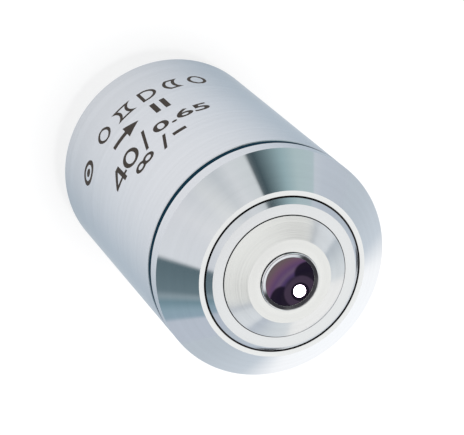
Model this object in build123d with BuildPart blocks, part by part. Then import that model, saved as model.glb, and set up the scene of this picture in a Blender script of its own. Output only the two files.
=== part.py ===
"""Long-working-distance microscope objective with a spring-loaded retracting front.

Units are millimetres. +Z is the optical axis and points at the specimen. The origin is on the
axis in the plane of the mounting shoulder, the face that meets the nosepiece of a microscope.

Two rigid groups:
  outer body - mount, guide tube, barrel sleeve, colour ring, nose cone, spring seat, spring
  lens unit  - lens barrel with all the glass, which slides back into the nose against the spring
"""

import os
from math import copysign, cos, radians, sin, sqrt

from build123d import *

os.makedirs("parts", exist_ok=True)

# ---------------------------------------------------------------- driving dimensions

BARREL_R = 13.0
BARREL_LENGTH = 33.5
BARREL_BASE = 0.1
BARREL_RELIEF_R = 11.5
BARREL_PILOT_Z = 31.0
EDGE_BREAK = 0.1
REAR_CHAMFER = 0.5

THREAD_R = 10.135
THREAD_LENGTH = 4.8
THREAD_CHAMFER = 0.5
THREAD_RELIEF_R = 9.55
THREAD_RELIEF = 0.9
UNDERCUT = 0.15
SHOULDER_R = 10.25
REAR_BORE_R = 8.2
FLANGE_R = 12.0
FLANGE_TOP = 6.0
FLANGE_FLOOR = 1.5

GUIDE_R = 11.0
GUIDE_BORE_R = 9.3
GUIDE_TOP = 36.9
ACCESS_HOLE_R = 1.3
FIT_GAP = 0.02

COLOUR_RING_R = 12.94
COLOUR_RING_WIDTH = 0.85
COLOUR_RING_TAPER = 0.3

NOSE_Z = BARREL_LENGTH + COLOUR_RING_WIDTH
NOSE_TOP = 39.8
CONE_Z = 36.2
CONE_TOP_R = 9.4
NOSE_BORE_R = 9.6
LIP_R = 8.85
LIP_Z = 38.9

TRAVEL = 2.5
SLIDE_R = 9.25
SLIDE_RELIEF_R = 9.05
SLIDE_Z = 7.6
SLIDE_TOP = LIP_Z - FIT_GAP
REAR_LAND_TOP = 14.6
FRONT_LAND_Z = 31.2
LAND_TAPER = 0.2
TAIL_R = 7.9
TAIL_Z = 4.0
LENS_BORE_R = 7.2
WEB_Z = 35.95
WEB_TOP = 36.5
WEB_R = 5.6

SLEEVE_R = 8.65
SLEEVE_TOP_R = 8.1
SLEEVE_TOP = 40.4
SLEEVE_THREAD_R = 8.0
SLEEVE_BORE_R = 6.93
SLEEVE_LIP_R = 5.9
SLEEVE_LIP = 0.35
SCREWED_CELL_R = 6.91
CELL_R = 7.15
CENTRING_CELL_R = 6.9

PIN_R = 0.75
PIN_Z = 12.0
PIN_ROOT = 7.8
PIN_LENGTH = 3.1
PIN_CHAMFER = 0.1
SCREW_R = 0.7
SCREW_Z = 21.2
SCREW_LENGTH = 1.9
SCREW_SOCKET_R = 0.36
SCREW_SOCKET_DEPTH = 0.8
SCREW_ANGLES = (90, 210, 330)

SPRING_WIRE_R = 0.35
SPRING_R = 8.72
SPRING_SEAT = 0.6
SPRING_TURNS = 3.5

# Optical layout, front to back: front vertex height, front radius, rear vertex height, rear
# radius and semi-diameter. A radius above zero has its centre on the rear side of the surface.
# Focal length 4 mm. Cemented faces are 0.02 apart.
FRONT_LENS = (41.294, -7.5, 39.37, -3.7, 3.0)
SECOND_LENS = (39.12, -16.0, 36.62, -6.9, 4.5)
DOUBLET_A_CROWN = (36.37, 24.0, 32.77, -7.6, 5.0)
DOUBLET_A_FLINT = (32.75, -7.6, 31.55, -21.6, 5.0)
TRIPLET_FRONT_FLINT = (31.25, 30.0, 30.05, 8.6, 5.0)
TRIPLET_CROWN = (30.03, 8.6, 25.63, -8.6, 5.0)
TRIPLET_REAR_FLINT = (25.61, -8.6, 24.41, -29.8, 5.0)
DOUBLET_B_CROWN = (24.01, 12.5, 21.41, -18.0, 4.4)
DOUBLET_B_FLINT = (21.39, -18.0, 20.19, 12.8, 4.4)
REAR_CONCAVE = (14.59, -6.7, 13.19, 7.5, 3.6)
REAR_CONVEX = (13.17, 7.5, 10.77, -17.2, 3.6)

# Seams of the stack behind the web, counted upwards from the retaining ring.
RETAINER_Z = 5.1
STOP_Z = 7.1
STOP_TOP = 7.5
REAR_CELL_Z = 10.2
REAR_CELL_TOP = 16.0
CENTRING_CELL_Z = 18.9
CENTRING_CELL_TOP = 23.62
TRIPLET_CELL_Z = 23.92
TRIPLET_CELL_TOP = 30.87
DOUBLET_A_CELL_Z = 31.07
SHIM_BORE_R = 5.2
SPACER_MIDDLE_BORE_R = 6.0
SPACER_REAR_BORE_R = 5.0
SEAT_LIP = 0.3
STOP_R = 2.8
STOP_CHAMFER = 0.3
RETAINER_BORE_R = 4.6
SPANNER_SLOT_LENGTH = 16.0
SPANNER_SLOT_WIDTH = 1.2
SPANNER_SLOT_DEPTH = 1.0


def sag(radius, height):
    """Drop of a spherical surface at a height off the axis; radius > 0 bulges to the front."""
    return radius - copysign(sqrt(radius * radius - height * height), radius)


def lens_outline(front_z, front_radius, rear_z, rear_radius, semi):
    """Half section of a lens."""
    with BuildSketch() as outline:
        with BuildLine():
            half = semi / 2
            front_edge = (semi, front_z - sag(front_radius, semi))
            rear_edge = (semi, rear_z - sag(rear_radius, semi))
            front_mid = (half, front_z - sag(front_radius, half))
            rear_mid = (half, rear_z - sag(rear_radius, half))
            ThreePointArc((0, front_z), front_mid, front_edge)
            Line(front_edge, rear_edge)
            ThreePointArc(rear_edge, rear_mid, (0, rear_z))
            Line((0, rear_z), (0, front_z))
        make_face()
    return outline.sketch


def cell_outline(last_lens, outer_r, bottom, top, lip=SEAT_LIP):
    """Half section of a lens cell: open at the front, with a lip under its last lens."""
    rear_z, rear_radius, semi = last_lens[2:]
    seat_r = semi - lip
    lowest = max(sag(rear_radius, seat_r), sag(rear_radius, semi))
    seat_z = rear_z - lowest - FIT_GAP
    bore_r = semi + FIT_GAP
    with BuildSketch() as outline:
        with BuildLine():
            Polyline(
                (seat_r, bottom),
                (outer_r, bottom),
                (outer_r, top),
                (bore_r, top),
                (bore_r, seat_z),
                (seat_r, seat_z),
                close=True,
            )
        make_face()
    return outline.sketch


def radial_plane(angle, height):
    """Plane on the axis at a height, facing outwards at an angle about the axis."""
    outward = (cos(radians(angle)), sin(radians(angle)), 0)
    return Plane(origin=(0, 0, height), x_dir=(0, 0, 1), z_dir=outward)


# ---------------------------------------------------------------- outer body

# Mount: threaded spigot, undercut, shoulder at z = 0 and a flange that holds the guide tube.
with BuildPart() as mount_body:
    with BuildSketch(Plane.XZ):
        with BuildLine():
            Polyline(
                (REAR_BORE_R, -THREAD_LENGTH),
                (THREAD_R - THREAD_CHAMFER, -THREAD_LENGTH),
                (THREAD_R, THREAD_CHAMFER - THREAD_LENGTH),
                (THREAD_R, -THREAD_RELIEF),
                (THREAD_RELIEF_R, -THREAD_RELIEF),
                (THREAD_RELIEF_R, UNDERCUT),
                (SHOULDER_R, UNDERCUT),
                (SHOULDER_R, 0),
                (FLANGE_R, 0),
                (FLANGE_R, FLANGE_TOP),
                (GUIDE_R + FIT_GAP, FLANGE_TOP),
                (GUIDE_R + FIT_GAP, FLANGE_FLOOR),
                (REAR_BORE_R, FLANGE_FLOOR),
                close=True,
            )
        make_face()
    revolve(axis=Axis.Z)
mount_body.part.label = "mount_body"
export_step(mount_body.part, "parts/mount_body.step")

# Guide tube: the bore in which the lens unit slides, with a slot for the guide pin and
# three openings that give access to the centring screws.
SLOT_WIDTH = 2 * PIN_R + 0.1
SLOT_BOTTOM = PIN_Z - PIN_R - TRAVEL - 0.15
SLOT_TOP = PIN_Z + PIN_R + 0.1
with BuildPart() as guide_tube:
    with BuildSketch(Plane.XY.offset(FLANGE_FLOOR)):
        Circle(GUIDE_R)
        Circle(GUIDE_BORE_R, mode=Mode.SUBTRACT)
    extrude(amount=GUIDE_TOP - FLANGE_FLOOR)
    with BuildSketch(radial_plane(90, (SLOT_BOTTOM + SLOT_TOP) / 2)):
        SlotOverall(SLOT_TOP - SLOT_BOTTOM, SLOT_WIDTH)
    extrude(amount=GUIDE_R + 1, mode=Mode.SUBTRACT)
    for angle in SCREW_ANGLES:
        with BuildSketch(radial_plane(angle, SCREW_Z)):
            Circle(ACCESS_HOLE_R)
        extrude(amount=GUIDE_R + 1, mode=Mode.SUBTRACT)
guide_tube.part.label = "guide_tube"
export_step(guide_tube.part, "parts/guide_tube.step")

# Barrel sleeve: the plain outer cylinder that carries the engraving.
with BuildPart() as barrel_sleeve:
    with BuildSketch(Plane.XZ):
        with BuildLine():
            Polyline(
                (FLANGE_R + FIT_GAP, BARREL_BASE),
                (BARREL_R - REAR_CHAMFER, BARREL_BASE),
                (BARREL_R, BARREL_BASE + REAR_CHAMFER),
                (BARREL_R, BARREL_LENGTH - EDGE_BREAK),
                (BARREL_R - EDGE_BREAK, BARREL_LENGTH),
                (GUIDE_R + FIT_GAP, BARREL_LENGTH),
                (GUIDE_R + FIT_GAP, BARREL_PILOT_Z),
                (BARREL_RELIEF_R, BARREL_PILOT_Z),
                (BARREL_RELIEF_R, FLANGE_TOP),
                (FLANGE_R + FIT_GAP, FLANGE_TOP),
                close=True,
            )
        make_face()
    revolve(axis=Axis.Z)
barrel_sleeve.part.label = "barrel_sleeve"
export_step(barrel_sleeve.part, "parts/barrel_sleeve.step")

# Colour ring: a thin painted washer clamped between sleeve and nose, tapered towards the front.
with BuildPart() as colour_ring:
    with BuildSketch(Plane.XZ):
        with BuildLine():
            Polyline(
                (GUIDE_R + FIT_GAP, BARREL_LENGTH),
                (COLOUR_RING_R, BARREL_LENGTH),
                (COLOUR_RING_R - COLOUR_RING_TAPER, NOSE_Z),
                (GUIDE_R + FIT_GAP, NOSE_Z),
                close=True,
            )
        make_face()
    revolve(axis=Axis.Z)
colour_ring.part.label = "colour_ring"
export_step(colour_ring.part, "parts/colour_ring.step")

# Nose cone: short rim, 45 degree cone, flat front and an inner lip that stops the lens unit.
with BuildPart() as nose_cone:
    with BuildSketch(Plane.XZ):
        with BuildLine():
            Polyline(
                (GUIDE_R + FIT_GAP, NOSE_Z),
                (BARREL_R - EDGE_BREAK, NOSE_Z),
                (BARREL_R, NOSE_Z + EDGE_BREAK),
                (BARREL_R, CONE_Z),
                (CONE_TOP_R, NOSE_TOP),
                (LIP_R, NOSE_TOP),
                (LIP_R, LIP_Z),
                (NOSE_BORE_R, LIP_Z),
                (NOSE_BORE_R, GUIDE_TOP + 0.1),
                (GUIDE_R + FIT_GAP, GUIDE_TOP + 0.1),
                close=True,
            )
        make_face()
    revolve(axis=Axis.Z)
nose_cone.part.label = "nose_cone"
export_step(nose_cone.part, "parts/nose_cone.step")

# Spring seat: a hard washer on the floor of the mount.
with BuildPart() as spring_seat:
    with BuildSketch(Plane.XY.offset(FLANGE_FLOOR)):
        Circle(SLIDE_R)
        Circle(REAR_BORE_R + 0.05, mode=Mode.SUBTRACT)
    extrude(amount=SPRING_SEAT)
spring_seat.part.label = "spring_seat"
export_step(spring_seat.part, "parts/spring_seat.step")

# Return spring: round wire between the seat and the rear shoulder of the lens barrel.
SPRING_Z = FLANGE_FLOOR + SPRING_SEAT + SPRING_WIRE_R
SPRING_RISE = SLIDE_Z - SPRING_WIRE_R - SPRING_Z
with BuildPart() as return_spring:
    with BuildLine() as coil:
        Helix(
            pitch=SPRING_RISE / SPRING_TURNS,
            height=SPRING_RISE,
            radius=SPRING_R,
            center=(0, 0, SPRING_Z),
        )
    with BuildSketch(Plane(origin=coil.line @ 0, z_dir=coil.line % 0)):
        Circle(SPRING_WIRE_R)
    sweep(is_frenet=True)
return_spring.part.label = "return_spring"
export_step(return_spring.part, "parts/return_spring.step")

# ---------------------------------------------------------------- lens unit

# Lens barrel: two guiding lands, a tail that centres the spring and a web behind the front
# sleeve, against which the rear stack of cells is clamped.
with BuildPart() as lens_barrel:
    with BuildSketch(Plane.XZ):
        with BuildLine():
            Polyline(
                (LENS_BORE_R, TAIL_Z),
                (TAIL_R, TAIL_Z),
                (TAIL_R, SLIDE_Z),
                (SLIDE_R, SLIDE_Z),
                (SLIDE_R, REAR_LAND_TOP),
                (SLIDE_RELIEF_R, REAR_LAND_TOP + LAND_TAPER),
                (SLIDE_RELIEF_R, FRONT_LAND_Z - LAND_TAPER),
                (SLIDE_R, FRONT_LAND_Z),
                (SLIDE_R, SLIDE_TOP),
                (SLEEVE_THREAD_R + FIT_GAP, SLIDE_TOP),
                (SLEEVE_THREAD_R + FIT_GAP, WEB_TOP),
                (WEB_R, WEB_TOP),
                (WEB_R, WEB_Z),
                (LENS_BORE_R, WEB_Z),
                close=True,
            )
        make_face()
    revolve(axis=Axis.Z)
    with BuildSketch(radial_plane(90, PIN_Z).offset(PIN_ROOT)):
        Circle(PIN_R + FIT_GAP)
    extrude(amount=PIN_LENGTH, mode=Mode.SUBTRACT)
    for angle in SCREW_ANGLES:
        with BuildSketch(radial_plane(angle, SCREW_Z).offset(CENTRING_CELL_R)):
            Circle(SCREW_R + FIT_GAP)
        extrude(amount=GUIDE_R - CENTRING_CELL_R, mode=Mode.SUBTRACT)
lens_barrel.part.label = "lens_barrel"
export_step(lens_barrel.part, "parts/lens_barrel.step")

# Guide pin: radial pin that keeps the lens unit from turning.
with BuildPart() as guide_pin:
    with BuildSketch(radial_plane(90, PIN_Z).offset(PIN_ROOT)):
        Circle(PIN_R)
    extrude(amount=PIN_LENGTH)
    chamfer(guide_pin.edges().sort_by(Axis.Y)[-1], PIN_CHAMFER)
guide_pin.part.label = "guide_pin"
export_step(guide_pin.part, "parts/guide_pin.step")

# Centring screws: three socket grub screws on the centring cell.
with BuildPart() as centring_screws:
    for angle in SCREW_ANGLES:
        with BuildSketch(radial_plane(angle, SCREW_Z).offset(CENTRING_CELL_R)):
            Circle(SCREW_R)
        extrude(amount=SCREW_LENGTH)
        with BuildSketch(radial_plane(angle, SCREW_Z).offset(CENTRING_CELL_R + SCREW_LENGTH)):
            RegularPolygon(SCREW_SOCKET_R, 6)
        extrude(amount=-SCREW_SOCKET_DEPTH, mode=Mode.SUBTRACT)
centring_screws.part.label = "centring_screws"
export_step(centring_screws.part, "parts/centring_screws.step")

# Front sleeve: screws into the lens barrel and shows as a chamfered ring round the front cell.
with BuildPart() as front_sleeve:
    with BuildSketch(Plane.XZ):
        with BuildLine():
            Polyline(
                (SLEEVE_BORE_R, SLEEVE_TOP),
                (SLEEVE_TOP_R, SLEEVE_TOP),
                (SLEEVE_R, SLEEVE_TOP - (SLEEVE_R - SLEEVE_TOP_R)),
                (SLEEVE_R, SLIDE_TOP),
                (SLEEVE_THREAD_R, SLIDE_TOP),
                (SLEEVE_THREAD_R, WEB_TOP),
                (SLEEVE_LIP_R, WEB_TOP),
                (SLEEVE_LIP_R, WEB_TOP + SLEEVE_LIP),
                (SLEEVE_BORE_R, WEB_TOP + SLEEVE_LIP),
                close=True,
            )
        make_face()
    revolve(axis=Axis.Z)
front_sleeve.part.label = "front_sleeve"
export_step(front_sleeve.part, "parts/front_sleeve.step")

# Front cell: shallow cone with a flat round the front lens.
FRONT_CELL_Z = 40.0
FRONT_CELL_R = 6.84
FRONT_CELL_STEP_Z = 40.25
FRONT_CONE_Z = 40.5
FRONT_FLAT_R = 4.7
FRONT_CELL_TOP = 41.9
FRONT_BORE_R = FRONT_LENS[4] + FIT_GAP
FRONT_SEAT_R = 2.95
FRONT_SEAT_Z = 40.8
BEZEL_Z = 41.62
BEZEL_R = 3.25
BEZEL_BORE_R = 2.75
BEZEL_EDGE = 0.14
BEZEL_LIP_Z = 41.94
BEZEL_LIP_TOP = 42.0
BEZEL_TOP = 42.2
with BuildPart() as front_cell:
    with BuildSketch(Plane.XZ):
        with BuildLine():
            Polyline(
                (FRONT_SEAT_R, FRONT_CELL_Z),
                (SCREWED_CELL_R, FRONT_CELL_Z),
                (SCREWED_CELL_R, FRONT_CELL_STEP_Z),
                (FRONT_CELL_R, FRONT_CELL_STEP_Z),
                (FRONT_CELL_R, FRONT_CONE_Z),
                (FRONT_FLAT_R, FRONT_CELL_TOP),
                (BEZEL_R + FIT_GAP, FRONT_CELL_TOP),
                (BEZEL_R + FIT_GAP, BEZEL_Z),
                (FRONT_BORE_R, BEZEL_Z),
                (FRONT_BORE_R, FRONT_SEAT_Z),
                (FRONT_SEAT_R, FRONT_SEAT_Z),
                close=True,
            )
        make_face()
    revolve(axis=Axis.Z)
front_cell.part.label = "front_cell"
export_step(front_cell.part, "parts/front_cell.step")

# Front lens bezel: ring with a round shoulder and a lip that slopes down over the front lens.
with BuildPart() as front_lens_bezel:
    with BuildSketch(Plane.XZ):
        with BuildLine():
            shoulder = (BEZEL_R, BEZEL_TOP - BEZEL_EDGE)
            crest = (BEZEL_R - BEZEL_EDGE, BEZEL_TOP)
            Polyline(
                (BEZEL_BORE_R, BEZEL_LIP_TOP),
                (BEZEL_BORE_R, BEZEL_LIP_Z),
                (FRONT_BORE_R, BEZEL_LIP_Z),
                (FRONT_BORE_R, BEZEL_Z),
                (BEZEL_R, BEZEL_Z),
                shoulder,
            )
            TangentArc(shoulder, crest, tangent=(0, 1))
            Line(crest, (BEZEL_BORE_R, BEZEL_LIP_TOP))
        make_face()
    revolve(axis=Axis.Z)
front_lens_bezel.part.label = "front_lens_bezel"
export_step(front_lens_bezel.part, "parts/front_lens_bezel.step")

# Front lens: hollow in front, strongly domed behind.
with BuildPart() as front_lens:
    with BuildSketch(Plane.XZ):
        add(lens_outline(*FRONT_LENS))
    revolve(axis=Axis.Z)
front_lens.part.label = "front_lens"
export_step(front_lens.part, "parts/front_lens.step")

# Second meniscus lens in its own cell inside the front sleeve.
SECOND_CELL_Z = WEB_TOP + SLEEVE_LIP + FIT_GAP
with BuildPart() as second_cell:
    with BuildSketch(Plane.XZ):
        add(cell_outline(SECOND_LENS, SCREWED_CELL_R, SECOND_CELL_Z, FRONT_CELL_Z - FIT_GAP, lip=0.13))
    revolve(axis=Axis.Z)
second_cell.part.label = "second_cell"
export_step(second_cell.part, "parts/second_cell.step")

with BuildPart() as second_lens:
    with BuildSketch(Plane.XZ):
        add(lens_outline(*SECOND_LENS))
    revolve(axis=Axis.Z)
second_lens.part.label = "second_lens"
export_step(second_lens.part, "parts/second_lens.step")

# Front doublet: crown cemented to flint.
with BuildPart() as doublet_a_cell:
    with BuildSketch(Plane.XZ):
        add(cell_outline(DOUBLET_A_FLINT, CELL_R, DOUBLET_A_CELL_Z, WEB_Z - FIT_GAP))
    revolve(axis=Axis.Z)
doublet_a_cell.part.label = "doublet_a_cell"
export_step(doublet_a_cell.part, "parts/doublet_a_cell.step")

with BuildPart() as doublet_a_crown:
    with BuildSketch(Plane.XZ):
        add(lens_outline(*DOUBLET_A_CROWN))
    revolve(axis=Axis.Z)
doublet_a_crown.part.label = "doublet_a_crown"
export_step(doublet_a_crown.part, "parts/doublet_a_crown.step")

with BuildPart() as doublet_a_flint:
    with BuildSketch(Plane.XZ):
        add(lens_outline(*DOUBLET_A_FLINT))
    revolve(axis=Axis.Z)
doublet_a_flint.part.label = "doublet_a_flint"
export_step(doublet_a_flint.part, "parts/doublet_a_flint.step")

# Shim that sets the first air space.
with BuildPart() as shim_front:
    with BuildSketch(Plane.XY.offset(TRIPLET_CELL_TOP)):
        Circle(CELL_R)
        Circle(SHIM_BORE_R, mode=Mode.SUBTRACT)
    extrude(amount=DOUBLET_A_CELL_Z - TRIPLET_CELL_TOP)
shim_front.part.label = "shim_front"
export_step(shim_front.part, "parts/shim_front.step")

# Cemented triplet: flint, thick crown, flint.
with BuildPart() as triplet_cell:
    with BuildSketch(Plane.XZ):
        add(cell_outline(TRIPLET_REAR_FLINT, CELL_R, TRIPLET_CELL_Z, TRIPLET_CELL_TOP))
    revolve(axis=Axis.Z)
triplet_cell.part.label = "triplet_cell"
export_step(triplet_cell.part, "parts/triplet_cell.step")

with BuildPart() as triplet_front_flint:
    with BuildSketch(Plane.XZ):
        add(lens_outline(*TRIPLET_FRONT_FLINT))
    revolve(axis=Axis.Z)
triplet_front_flint.part.label = "triplet_front_flint"
export_step(triplet_front_flint.part, "parts/triplet_front_flint.step")

with BuildPart() as triplet_crown:
    with BuildSketch(Plane.XZ):
        add(lens_outline(*TRIPLET_CROWN))
    revolve(axis=Axis.Z)
triplet_crown.part.label = "triplet_crown"
export_step(triplet_crown.part, "parts/triplet_crown.step")

with BuildPart() as triplet_rear_flint:
    with BuildSketch(Plane.XZ):
        add(lens_outline(*TRIPLET_REAR_FLINT))
    revolve(axis=Axis.Z)
triplet_rear_flint.part.label = "triplet_rear_flint"
export_step(triplet_rear_flint.part, "parts/triplet_rear_flint.step")

# Shim that sets the second air space.
with BuildPart() as shim_rear:
    with BuildSketch(Plane.XY.offset(CENTRING_CELL_TOP)):
        Circle(CELL_R)
        Circle(SHIM_BORE_R, mode=Mode.SUBTRACT)
    extrude(amount=TRIPLET_CELL_Z - CENTRING_CELL_TOP)
shim_rear.part.label = "shim_rear"
export_step(shim_rear.part, "parts/shim_rear.step")

# Centring doublet: its cell is smaller than the bore, so that the screws can shift it.
with BuildPart() as centring_cell:
    with BuildSketch(Plane.XZ):
        add(cell_outline(DOUBLET_B_FLINT, CENTRING_CELL_R, CENTRING_CELL_Z, CENTRING_CELL_TOP))
    revolve(axis=Axis.Z)
centring_cell.part.label = "centring_cell"
export_step(centring_cell.part, "parts/centring_cell.step")

with BuildPart() as doublet_b_crown:
    with BuildSketch(Plane.XZ):
        add(lens_outline(*DOUBLET_B_CROWN))
    revolve(axis=Axis.Z)
doublet_b_crown.part.label = "doublet_b_crown"
export_step(doublet_b_crown.part, "parts/doublet_b_crown.step")

with BuildPart() as doublet_b_flint:
    with BuildSketch(Plane.XZ):
        add(lens_outline(*DOUBLET_B_FLINT))
    revolve(axis=Axis.Z)
doublet_b_flint.part.label = "doublet_b_flint"
export_step(doublet_b_flint.part, "parts/doublet_b_flint.step")

# Spacer tube between the centring cell and the rear cell.
with BuildPart() as spacer_middle:
    with BuildSketch(Plane.XY.offset(REAR_CELL_TOP)):
        Circle(CELL_R)
        Circle(SPACER_MIDDLE_BORE_R, mode=Mode.SUBTRACT)
    extrude(amount=CENTRING_CELL_Z - REAR_CELL_TOP)
spacer_middle.part.label = "spacer_middle"
export_step(spacer_middle.part, "parts/spacer_middle.step")

# Rear doublet: biconcave flint in front of a convex crown.
with BuildPart() as rear_cell:
    with BuildSketch(Plane.XZ):
        add(cell_outline(REAR_CONVEX, CELL_R, REAR_CELL_Z, REAR_CELL_TOP))
    revolve(axis=Axis.Z)
rear_cell.part.label = "rear_cell"
export_step(rear_cell.part, "parts/rear_cell.step")

with BuildPart() as rear_concave_lens:
    with BuildSketch(Plane.XZ):
        add(lens_outline(*REAR_CONCAVE))
    revolve(axis=Axis.Z)
rear_concave_lens.part.label = "rear_concave_lens"
export_step(rear_concave_lens.part, "parts/rear_concave_lens.step")

with BuildPart() as rear_convex_lens:
    with BuildSketch(Plane.XZ):
        add(lens_outline(*REAR_CONVEX))
    revolve(axis=Axis.Z)
rear_convex_lens.part.label = "rear_convex_lens"
export_step(rear_convex_lens.part, "parts/rear_convex_lens.step")

# Spacer tube between the rear cell and the aperture stop.
with BuildPart() as spacer_rear:
    with BuildSketch(Plane.XY.offset(STOP_TOP)):
        Circle(CELL_R)
        Circle(SPACER_REAR_BORE_R, mode=Mode.SUBTRACT)
    extrude(amount=REAR_CELL_Z - STOP_TOP)
spacer_rear.part.label = "spacer_rear"
export_step(spacer_rear.part, "parts/spacer_rear.step")

# Aperture stop: the disc seen from behind, at the rear focal plane.
with BuildPart() as aperture_stop:
    with BuildSketch(Plane.XY.offset(STOP_Z)):
        Circle(CELL_R)
        Circle(STOP_R, mode=Mode.SUBTRACT)
    extrude(amount=STOP_TOP - STOP_Z)
    chamfer(aperture_stop.edges().group_by(Axis.Z)[0].sort_by(SortBy.RADIUS)[0], STOP_CHAMFER)
aperture_stop.part.label = "aperture_stop"
export_step(aperture_stop.part, "parts/aperture_stop.step")

# Retaining ring: clamps the stack from behind, with two slots for a spanner.
with BuildPart() as retaining_ring:
    with BuildSketch(Plane.XY.offset(RETAINER_Z)):
        Circle(CELL_R)
        Circle(RETAINER_BORE_R, mode=Mode.SUBTRACT)
    extrude(amount=STOP_Z - RETAINER_Z)
    with BuildSketch(Plane.XY.offset(RETAINER_Z)):
        Rectangle(SPANNER_SLOT_LENGTH, SPANNER_SLOT_WIDTH)
    extrude(amount=SPANNER_SLOT_DEPTH, mode=Mode.SUBTRACT)
retaining_ring.part.label = "retaining_ring"
export_step(retaining_ring.part, "parts/retaining_ring.step")
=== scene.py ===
"""Looks of a microscope objective with a spring-loaded front.

Everything is in metres in the frame of the CAD model: the origin is on the optical axis in the
plane of the mounting shoulder and +Z points at the specimen. Lengths named in millimetres are
multiplied by MM where they meet Blender.
"""

from math import acos, asin, atan2, cos, degrees, pi, radians, sin, sqrt, tan

import bmesh
import bpy
from mathutils import Matrix, Vector


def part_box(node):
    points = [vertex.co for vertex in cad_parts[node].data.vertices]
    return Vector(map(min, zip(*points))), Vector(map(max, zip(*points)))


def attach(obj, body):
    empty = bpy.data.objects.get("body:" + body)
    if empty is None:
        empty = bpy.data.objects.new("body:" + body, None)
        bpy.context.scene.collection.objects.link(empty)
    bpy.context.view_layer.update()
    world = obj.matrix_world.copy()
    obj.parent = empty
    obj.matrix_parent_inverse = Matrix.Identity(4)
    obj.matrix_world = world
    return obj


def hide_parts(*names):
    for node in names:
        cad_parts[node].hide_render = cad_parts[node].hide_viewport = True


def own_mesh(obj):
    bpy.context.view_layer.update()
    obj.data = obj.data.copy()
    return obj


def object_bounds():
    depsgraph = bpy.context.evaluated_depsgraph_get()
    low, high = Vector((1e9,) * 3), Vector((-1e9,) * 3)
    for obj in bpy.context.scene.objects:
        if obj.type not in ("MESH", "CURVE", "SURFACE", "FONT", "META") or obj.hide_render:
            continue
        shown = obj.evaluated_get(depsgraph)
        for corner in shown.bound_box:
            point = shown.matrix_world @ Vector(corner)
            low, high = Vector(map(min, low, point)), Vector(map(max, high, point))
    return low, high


MM = 0.001
OUTER = "outer_body"
LENS = "lens_unit"
# Vertices round a turned piece.
SEGMENTS = 256

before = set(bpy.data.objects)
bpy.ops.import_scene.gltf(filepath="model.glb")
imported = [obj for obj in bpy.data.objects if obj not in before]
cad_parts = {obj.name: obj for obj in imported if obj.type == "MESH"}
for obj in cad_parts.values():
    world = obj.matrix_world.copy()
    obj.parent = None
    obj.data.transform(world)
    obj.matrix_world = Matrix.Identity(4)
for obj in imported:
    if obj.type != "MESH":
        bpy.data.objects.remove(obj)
cad_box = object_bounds()
scene = bpy.context.scene


# ---------------------------------------------------------------- camera

CAMERA_PLACE = Vector((-0.6, -120.9, 252.4)) * MM
CAMERA_ELEVATION = radians(62.27)
CAMERA_ROLL = radians(134.13)
# Focal length and width of the sensor in millimetres.
CAMERA_LENS = 178.45
CAMERA_SENSOR = 36.0


def make_camera():
    """Long lens above the -Y side, rolled so that the front points to the lower right."""
    data = bpy.data.cameras.new("camera")
    data.lens = CAMERA_LENS
    data.sensor_width = CAMERA_SENSOR
    data.clip_start = 0.01
    data.clip_end = 20.0
    camera = bpy.data.objects.new("camera", data)
    tilt = Matrix.Rotation(pi / 2 - CAMERA_ELEVATION, 4, "X")
    roll = Matrix.Rotation(CAMERA_ROLL, 4, "Z")
    camera.matrix_world = Matrix.Translation(CAMERA_PLACE) @ tilt @ roll
    scene.collection.objects.link(camera)
    scene.camera = camera


# ---------------------------------------------------------------- node helpers


def node_tree(owner):
    """The cleared node tree of a material or world."""
    owner.use_nodes = True
    owner.node_tree.nodes.clear()
    return owner.node_tree


def add_node(tree, kind, **settings):
    """A new node with the given properties set."""
    node = tree.nodes.new(kind)
    for key, value in settings.items():
        setattr(node, key, value)
    return node


def math_node(tree, operation, first, second=None):
    """Output of a Math node; each operand is a socket or a number."""
    node = add_node(tree, "ShaderNodeMath", operation=operation)
    for socket, value in zip(node.inputs, (first, second)):
        if value is None:
            continue
        if isinstance(value, (int, float)):
            socket.default_value = value
        else:
            tree.links.new(value, socket)
    return node.outputs[0]


def map_range(tree, value, low, high, to_low, to_high, smooth=False):
    """Output of a clamped Map Range node."""
    node = add_node(tree, "ShaderNodeMapRange", clamp=True)
    if smooth:
        node.interpolation_type = "SMOOTHSTEP"
    tree.links.new(value, node.inputs["Value"])
    node.inputs["From Min"].default_value = low
    node.inputs["From Max"].default_value = high
    node.inputs["To Min"].default_value = to_low
    node.inputs["To Max"].default_value = to_high
    return node.outputs["Result"]


# The colour sockets of a Mix node among its inputs and outputs.
MIX_FIRST = 6
MIX_SECOND = 7
MIX_RESULT = 2


def mix_colour(tree, factor, first, second):
    """Output of a colour Mix node; first and second are sockets or colours."""
    node = add_node(tree, "ShaderNodeMix", data_type="RGBA")
    tree.links.new(factor, node.inputs["Factor"])
    for socket, value in ((node.inputs[MIX_FIRST], first), (node.inputs[MIX_SECOND], second)):
        if isinstance(value, tuple):
            socket.default_value = (*value, 1.0)
        else:
            tree.links.new(value, socket)
    return node.outputs[MIX_RESULT]


def vector_node(tree, operation, first, second=None):
    """Vector Math node on a socket and, where it takes two, a vector of numbers."""
    node = add_node(tree, "ShaderNodeVectorMath", operation=operation)
    tree.links.new(first, node.inputs[0])
    if second is not None:
        node.inputs[1].default_value = second
    return node


def object_place(tree):
    """Socket with the place in the piece's own space, in metres."""
    return add_node(tree, "ShaderNodeTexCoord").outputs["Object"]


def colour_ramp(tree, value, stops):
    """Output of a Color Ramp node with the given (position, colour) stops."""
    node = add_node(tree, "ShaderNodeValToRGB")
    elements = node.color_ramp.elements
    while len(elements) < len(stops):
        elements.new(0.5)
    for element, (position, colour) in zip(elements, stops):
        element.position = position
        element.color = (*colour, 1.0)
    tree.links.new(value, node.inputs[0])
    return node.outputs["Color"]


# ---------------------------------------------------------------- studio

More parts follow.
